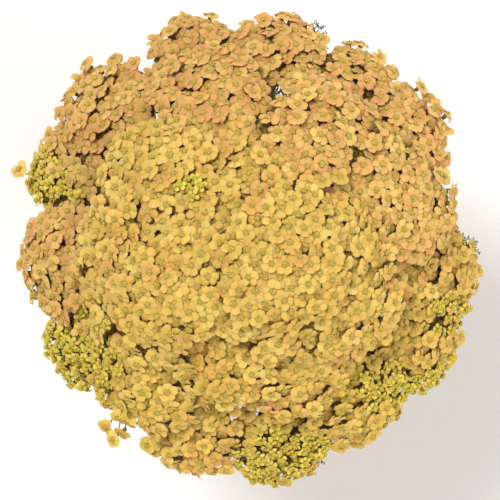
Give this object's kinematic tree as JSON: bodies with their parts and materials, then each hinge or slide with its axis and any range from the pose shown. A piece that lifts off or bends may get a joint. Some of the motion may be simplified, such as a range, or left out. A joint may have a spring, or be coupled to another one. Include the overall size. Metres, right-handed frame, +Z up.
{
  "type": "potted yarrow plant",
  "caption": "Bushy yarrow in a plain clay pot: flat heads of small cream, peach and yellow florets packed into one dome on upright ferny-leaved stems.",
  "frame": {"origin": "centre of the pot's flat foot, on the surface that it stands on", "axes": "+Z up along the pot's axis; +Y is the top edge of the picture and +X its right edge, seen from above"},
  "size_m": [0.1993, 0.2078, 0.2832],
  "materials": {
    "clay": "unglazed terracotta, matt and slightly chalky",
    "soil": "moist dark potting mix, rough",
    "leaf": "soft grey-green foliage with fine hairs",
    "cream_petals": "soft matt petals, pale cream yellow",
    "peach_petals": "soft matt petals, peach with pinkish yellow",
    "yellow_petals": "soft matt petals, clear yellow"
  },
  "bodies": {
    "root": {"clay_pot": "clay", "potting_soil": "soil", "head_01": "cream_petals", "head_02": "cream_petals", "head_03": "cream_petals", "head_04": "peach_petals", "head_05": "cream_petals", "head_06": "peach_petals", "head_07": "peach_petals", "head_08": "cream_petals", "head_09": "yellow_petals", "head_10": "yellow_petals", "head_11": "yellow_petals", "head_12": "peach_petals", "head_13": "peach_petals", "head_14": "peach_petals", "head_15": "peach_petals", "head_16": "peach_petals", "head_17": "peach_petals", "head_18": "yellow_petals", "head_19": "peach_petals", "head_20": "yellow_petals", "head_21": "yellow_petals", "head_22": "yellow_petals", "head_23": "yellow_petals", "head_24": "yellow_petals", "stem_01": "leaf", "stem_02": "leaf", "stem_03": "leaf", "stem_04": "leaf", "stem_05": "leaf", "stem_06": "leaf", "stem_07": "leaf", "stem_08": "leaf", "stem_09": "leaf", "stem_10": "leaf", "stem_11": "leaf", "stem_12": "leaf", "stem_13": "leaf", "stem_14": "leaf", "stem_15": "leaf", "stem_16": "leaf", "stem_17": "leaf", "stem_18": "leaf", "stem_19": "leaf", "stem_20": "leaf", "stem_21": "leaf", "stem_22": "leaf", "stem_23": "leaf", "stem_24": "leaf", "basal_leaf_01": "leaf", "basal_leaf_02": "leaf", "basal_leaf_03": "leaf", "basal_leaf_04": "leaf", "basal_leaf_05": "leaf", "basal_leaf_06": "leaf", "basal_leaf_07": "leaf", "basal_leaf_08": "leaf", "basal_leaf_09": "leaf", "basal_leaf_10": "leaf"}
  },
  "joints": []
}
